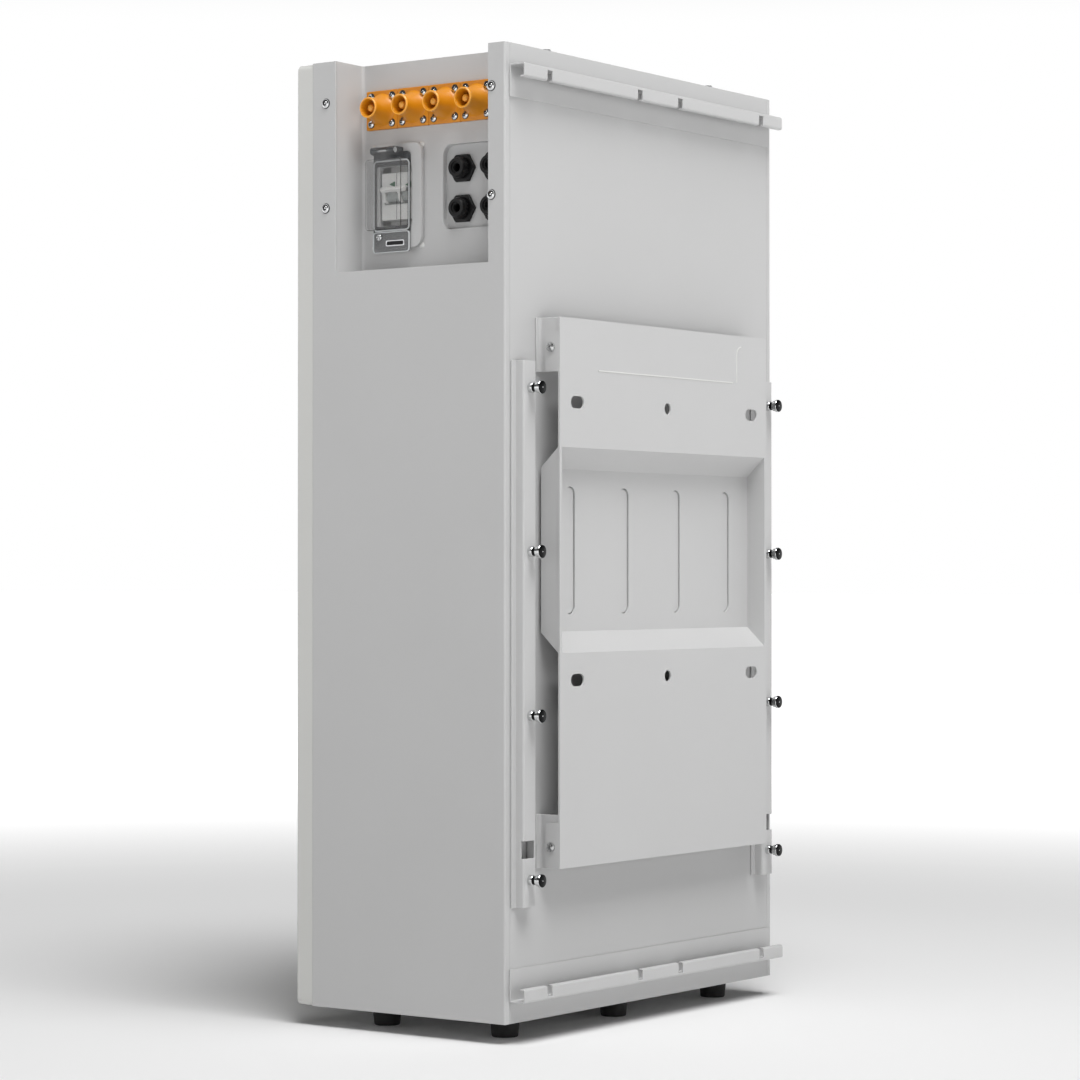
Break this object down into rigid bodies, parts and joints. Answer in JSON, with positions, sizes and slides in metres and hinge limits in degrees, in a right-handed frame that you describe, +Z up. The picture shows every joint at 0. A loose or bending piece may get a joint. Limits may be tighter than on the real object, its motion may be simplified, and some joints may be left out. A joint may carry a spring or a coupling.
{
  "type": "battery box",
  "caption": "Wall-mounted battery box: folded sheet-steel case with a recessed terminal bay, breaker under a hinged clear lid, rear rails and a wall plate.",
  "frame": {"origin": "centre of the footprint, on the plane the rubber feet stand on", "axes": "+X towards the side with the terminal bay, +Y towards the wall, +Z up"},
  "size_m": [0.462, 0.273, 0.9243],
  "materials": {
    "case_paint": "fine-texture grey powder coat",
    "cover_paint": "fine-texture light warm grey powder coat",
    "bracket_paint": "grey powder coat",
    "port_plastic": "orange moulded plastic",
    "gland_nylon": "black nylon",
    "breaker_white": "white moulded plastic",
    "keeper_black": "black moulded plastic",
    "lid_clear": "clear moulded plastic",
    "screw_zinc": "zinc plate",
    "stud_black": "black oxide",
    "foot_rubber": "black rubber",
    "cell_blue": "blue film over the cell cans",
    "board_housing": "plain aluminium tray",
    "bus_copper": "bare copper"
  },
  "bodies": {
    "case": {"back_panel": "case_paint", "base_panel": "case_paint", "battery_management_board": "board_housing", "bay_screw_front_bottom": "screw_zinc", "bay_screw_front_top": "screw_zinc", "bay_screw_rear_bottom": "screw_zinc", "bay_screw_rear_top": "screw_zinc", "bottom_rail": "bracket_paint", "breaker_body": "breaker_white", "bus_bar_negative": "bus_copper", "bus_bar_positive": "bus_copper", "cable_gland_1": "gland_nylon", "cable_gland_2": "gland_nylon", "cable_gland_3": "gland_nylon", "cable_gland_4": "gland_nylon", "cell_stack_left": "cell_blue", "cell_stack_right": "cell_blue", "din_rail": "screw_zinc", "ear_screw_left_bottom": "screw_zinc", "ear_screw_left_top": "screw_zinc", "ear_screw_right_bottom": "screw_zinc", "ear_screw_right_top": "screw_zinc", "foot_front_left": "foot_rubber", "foot_front_middle": "foot_rubber", "foot_front_right": "foot_rubber", "foot_rear_left": "foot_rubber", "foot_rear_middle": "foot_rubber", "foot_rear_right": "foot_rubber", "front_cover": "cover_paint", "hinge_pin": "screw_zinc", "plate_bracket_left_bottom": "bracket_paint", "plate_bracket_left_top": "bracket_paint", "plate_bracket_right_bottom": "bracket_paint", "plate_bracket_right_top": "bracket_paint", "power_socket_1": "port_plastic", "power_socket_2": "port_plastic", "power_socket_3": "port_plastic", "power_socket_4": "port_plastic", "rail_stud_left_1": "stud_black", "rail_stud_left_2": "stud_black", "rail_stud_left_3": "stud_black", "rail_stud_left_4": "stud_black", "rail_stud_right_1": "stud_black", "rail_stud_right_2": "stud_black", "rail_stud_right_3": "stud_black", "rail_stud_right_4": "stud_black", "side_panel_left": "case_paint", "side_panel_right": "case_paint", "side_rail_left": "bracket_paint", "side_rail_right": "bracket_paint", "terminal_bay": "case_paint", "top_panel": "case_paint", "top_rail": "bracket_paint", "top_screw_left": "screw_zinc", "top_screw_right": "screw_zinc", "wall_plate": "bracket_paint", "window_bezel": "case_paint", "window_frame": "keeper_black"},
    "window_lid": {"window_lid": "lid_clear"},
    "breaker_toggle": {"breaker_toggle": "breaker_white"}
  },
  "joints": [
    {"name": "lid_hinge", "type": "hinge", "parent": "case", "child": "window_lid", "pos_m": [0.2065, -0.0498, 0.833], "axis": [0, -1, 0], "range_deg": [0, 100]},
    {"name": "toggle_pivot", "type": "hinge", "parent": "case", "child": "breaker_toggle", "pos_m": [0.186, -0.0465, 0.791], "axis": [0, 1, 0], "range_deg": [0, 72]}
  ]
}
